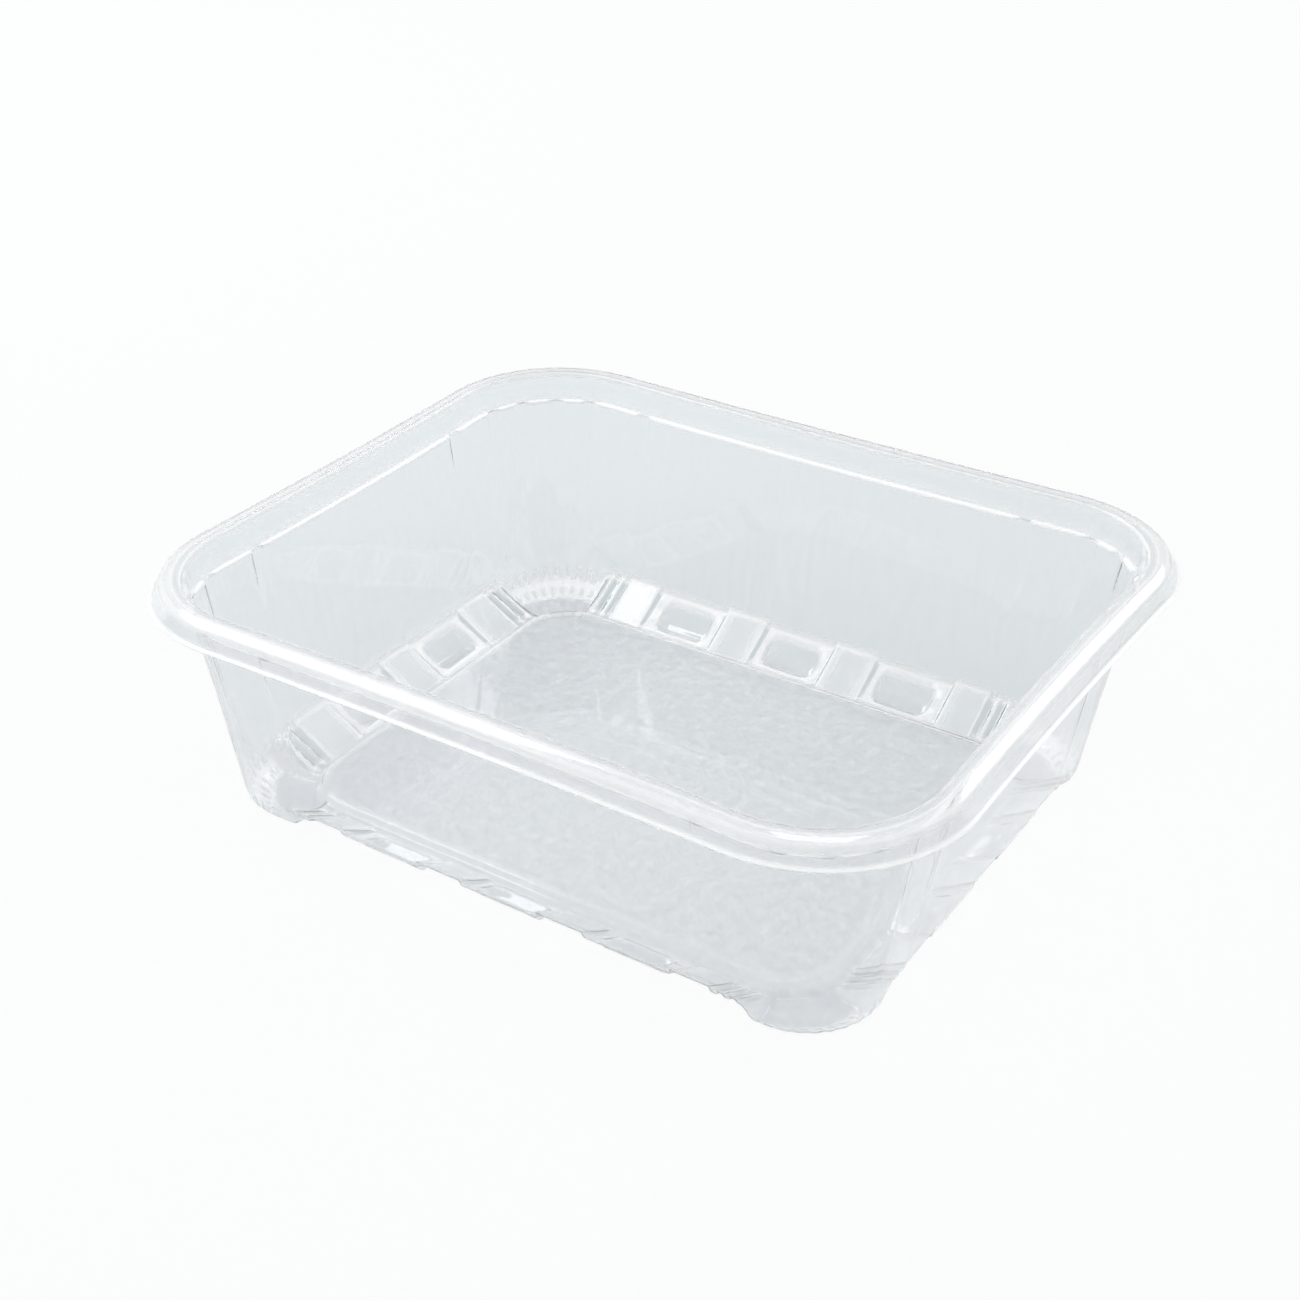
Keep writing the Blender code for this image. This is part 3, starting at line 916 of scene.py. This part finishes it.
def place_tube(tube: bpy.types.Object, rings: np.ndarray) -> None:
    """Moves each point of a tube to its place on the tray and marks it for the finish.

    Args:
        tube: What extrude_tube made.
        rings: Places and marks, by ring and then clockwise from +Y.
    """
    count = len(tube.data.vertices)
    flat = np.empty(count * 3, np.float32)
    tube.data.vertices.foreach_get("co", flat)
    x, y, z = flat.reshape(-1, 3).T
    turn = np.arctan2(x, y) / (2 * math.pi) * rings.shape[1]
    station = np.round(turn).astype(int) % rings.shape[1]
    ring = np.round(-z).astype(int)
    placed = rings[ring, station].astype(np.float32)
    tube.data.vertices.foreach_set("co", placed[:, :3].ravel())
    # The second mark is white, partly stress whitening and partly painted highlight, or painted shade below 0.
    for column, name in ((3, "undrawn"), (4, "haze_and_highlight")):
        mark = tube.data.attributes.new(name, "FLOAT", "POINT")
        mark.data.foreach_set("value", np.ascontiguousarray(placed[:, column]))
    tube.data.update()


def haze_and_highlight_bends(
    tray: bpy.types.Object, least: float, most: float, share: float, near: float, below: float
) -> None:
    """Adds white to the sheet's bends low on the tray, partly stress whitening and partly painted highlight; on the
    under face it keeps half of the values above the given height and half of the painted shade, and none of the rest.

    Args:
        tray: The finished mesh, with its haze attribute, whose upper face has the first half
            of the points.
        least: Curvature that counts as flat, as one over the radius in millimetres.
        most: Curvature that counts as a full bend.
        share: The white of a full bend.
        near: Share of the white and of the painted shade left at the corner where X is most and Y least,
            which faces away from the lamps, so the painted highlight is fainter there.
        below: Height in millimetres up to which this holds.
    """
    mesh = bmesh.new()
    mesh.from_mesh(tray.data)
    sharpest = np.zeros(len(mesh.verts))
    for edge in mesh.edges:
        one, other = edge.link_faces
        if edge.verts[0].co.z > below * MM:
            continue
        apart = (one.calc_center_median() - other.calc_center_median()).length / MM
        curvature = edge.calc_face_angle(0.0) / max(apart, 0.15)
        for vert in edge.verts:
            sharpest[vert.index] = max(sharpest[vert.index], curvature)
    mesh.free()
    haze_and_highlight = tray.data.attributes["haze_and_highlight"]
    values, undrawn = np.empty((2, len(sharpest)), np.float32)
    haze_and_highlight.data.foreach_get("value", values)
    tray.data.attributes["undrawn"].data.foreach_get("value", undrawn)
    bends = share * smooth((sharpest - least) / (most - least)) * (1 - smooth(undrawn / 0.3))
    places = np.empty(3 * len(values), np.float32)
    tray.data.vertices.foreach_get("co", places)
    x, y, z = places.reshape(-1, 3).T / MM
    # Painted highlight and painted shade fade towards the front-right corner, which faces away from the lamps.
    kept = near + (1 - near) * smooth(0.5 + (y - x) / 160)
    hazes_and_highlights = np.where(values < 0, values, np.maximum(values, bends)) * np.where(z < below, kept, 1.0)
    # The under face keeps half above the given height and half of the painted shade; below it, none.
    half = len(hazes_and_highlights) // 2
    hazes_and_highlights[half:] *= np.where((z[half:] > below) | (hazes_and_highlights[half:] < 0), 0.5, 0.0)
    haze_and_highlight.data.foreach_set("value", hazes_and_highlights.astype(np.float32))


@dataclass
class Studio:
    """A pale floor, a white surround and a broad softbox to the upper left.

    Args:
        floor_tone: The floor's own colour.
        floor_white: Share of plain white in the floor, as the camera and reflections see it.
        floor_behind: The same share, as seen through the sheet.
        surround_light: Strength of the surround as light on the object.
        surround_behind: Strength of the surround as seen through the sheet.
        surround_low: Strength of the surround near the horizon, as reflections see it.
        surround_high: The same higher up.
    """

    floor_tone: str = "#D1D6D7"
    floor_white: float = 0.88
    floor_behind: float = 0.0
    surround_light: float = 0.87
    surround_behind: float = 0.4
    surround_low: float = 0.25
    surround_high: float = 0.7

    def seen(self, tree: bpy.types.NodeTree, other: float, straight: float, behind: float) -> bpy.types.NodeSocket:
        """Picks a value by how a ray came here.

        Args:
            tree: The nodes of the floor or the surround.
            other: For light that has scattered off something.
            straight: For the camera and for reflections.
            behind: For rays that have passed the sheet, which count as glossy too.

        Returns:
            The value's socket.
        """
        path = add_node(tree, "ShaderNodeLightPath")
        direct = add_node(
            tree,
            "ShaderNodeMath",
            {"operation": "MAXIMUM"},
            {0: path.outputs["Is Camera Ray"], 1: path.outputs["Is Glossy Ray"]},
        )
        plain = add_node(tree, "ShaderNodeMapRange", {3: other, 4: straight}, {0: direct.outputs[0]})
        through = add_node(
            tree,
            "ShaderNodeMapRange",
            {4: behind},
            {0: path.outputs["Is Transmission Ray"], 3: plain.outputs[0]},
        )
        scattered = add_node(
            tree,
            "ShaderNodeMapRange",
            {4: other},
            {0: path.outputs["Diffuse Depth"], 3: through.outputs[0]},
        )
        return scattered.outputs[0]

    def floor(self) -> None:
        """Lays the floor, white to the camera but for the tray's shadow."""
        bpy.ops.object.select_all(action="DESELECT")
        bpy.ops.mesh.primitive_plane_add(size=8.0, location=(0, 0, 0))
        floor = bpy.context.object
        floor.name = "studio_floor"
        material = bpy.data.materials.new("matt_paper")
        material.use_nodes = True
        tree = material.node_tree
        paper = tree.nodes["Principled BSDF"]
        paper.inputs["Base Color"].default_value = hex_to_linear(self.floor_tone)
        paper.inputs["Roughness"].default_value = 1.0
        paper.inputs["Specular IOR Level"].default_value = 0.0
        white = add_node(tree, "ShaderNodeEmission", {"Color": (1, 1, 1, 1), "Strength": 1.0})
        share = self.seen(tree, 0.0, self.floor_white, self.floor_behind)
        mix = add_node(tree, "ShaderNodeMixShader", links={0: share, 1: paper.outputs[0], 2: white.outputs[0]})
        tree.links.new(mix.outputs[0], tree.nodes["Material Output"].inputs["Surface"])
        floor.data.materials.append(material)

    def surround(self) -> None:
        """Sets the world: white to the camera, gentle as light."""
        world = bpy.data.worlds.new("white_surround")
        bpy.context.scene.world = world
        world.use_nodes = True
        tree = world.node_tree
        background = tree.nodes["Background"]
        background.inputs["Color"].default_value = (1, 1, 1, 1)
        strength = self.seen(tree, self.surround_light, 1.0, self.surround_behind)
        direction = add_node(tree, "ShaderNodeTexCoord")
        parts = add_node(tree, "ShaderNodeSeparateXYZ", links={0: direction.outputs["Generated"]})
        reflected = add_node(
            tree,
            "ShaderNodeMapRange",
            {1: 0.05, 2: 0.4, 3: self.surround_low, 4: self.surround_high},
            {0: parts.outputs["Z"]},
        )
        path = add_node(tree, "ShaderNodeLightPath")
        mirrored = add_node(
            tree,
            "ShaderNodeMath",
            {"operation": "SUBTRACT"},
            {0: path.outputs["Is Glossy Ray"], 1: path.outputs["Is Transmission Ray"]},
        )
        level = add_node(
            tree,
            "ShaderNodeMix",
            links={0: mirrored.outputs[0], 2: strength, 3: reflected.outputs[0]},
        )
        tree.links.new(level.outputs[0], background.inputs["Strength"])

    def softbox(self, name: str, place: tuple[float, float, float], size: tuple[float, float], level: float, aimed: bool) -> None:
        """Hangs a softbox.

        Args:
            name: The lamp's name.
            place: Where it hangs, in metres.
            size: Its length along X and along its other side, in metres.
            level: How bright its face is, where 1 is white.
            aimed: Whether it points at the tray rather than straight down.
        """
        lamp = bpy.data.lights.new(name, "AREA")
        lamp.shape = "RECTANGLE"
        lamp.size, lamp.size_y = size
        lamp.energy = level * math.pi * size[0] * size[1]
        holder = bpy.data.objects.new(name, lamp)
        bpy.context.scene.collection.objects.link(holder)
        holder.location = place
        if aimed:
            aim = Vector((0, 0, 0.03)) - Vector(place)
            holder.rotation_euler = aim.to_track_quat("-Z", "Y").to_euler()

    def build(self) -> None:
        """Sets up the floor, the surround and the lamps."""
        self.floor()
        self.surround()
        self.softbox("left_softbox", (-0.87, 0.0, 1.0), (0.66, 1.1), 3.0, False)
        self.softbox("back_softbox", (0.24, 0.96, 0.7), (0.5, 0.34), 3.0, True)
        self.softbox("top_softbox", (-0.12, 0.34, 0.93), (0.24, 0.24), 3.0, True)


@dataclass(frozen=True)
class PhotoCamera:
    """The camera of the photograph, as fitted to the tray's outlines.

    Args:
        place: Where it stands, in metres.
        right: Its picture's rightward direction in the world.
        down: Its picture's downward direction in the world.
        ahead: The direction it looks in.
        focal_pixels: Focal length in pixels of the 1300 pixel frame.
        centre: Where its axis meets the picture, in the same pixels.
    """

    place: tuple[float, float, float] = (0.2111, -0.3349, 0.2733)
    right: tuple[float, float, float] = (0.827117, 0.561967, -0.008452)
    down: tuple[float, float, float] = (0.282858, -0.429219, -0.857766)
    ahead: tuple[float, float, float] = (-0.485664, 0.707082, -0.513971)
    focal_pixels: float = 2067.8
    centre: tuple[float, float] = (596.0, 649.0)

    def build(self) -> None:
        """Makes this the scene's camera."""
        camera = bpy.data.cameras.new("photo_camera")
        camera.sensor_width = 36.0
        camera.lens = self.focal_pixels / PHOTO_PIXELS * camera.sensor_width
        camera.shift_x = 0.5 - self.centre[0] / PHOTO_PIXELS
        camera.shift_y = self.centre[1] / PHOTO_PIXELS - 0.5
        camera.clip_start = 0.01
        holder = bpy.data.objects.new("photo_camera", camera)
        bpy.context.scene.collection.objects.link(holder)
        columns = (Vector(self.right), -Vector(self.down), -Vector(self.ahead))
        turn = Matrix(columns).transposed().to_4x4()
        holder.matrix_world = Matrix.Translation(self.place) @ turn
        bpy.context.scene.camera = holder


def main() -> None:
    """Builds the tray, the studio and the camera."""
    logging.basicConfig(level=logging.INFO, format="%(message)s")
    bpy.context.scene.view_settings.view_transform = "Standard"
    shell = PunnetShell()
    tray = shell.build()
    shell.dress(tray)
    log.info("tray: %d faces", len(tray.data.polygons))
    Studio().build()
    log.info("studio: floor, surround and lamps")
    PhotoCamera().build()
    log.info("camera: at the photograph's angle")


if __name__ == "__main__":
    main()
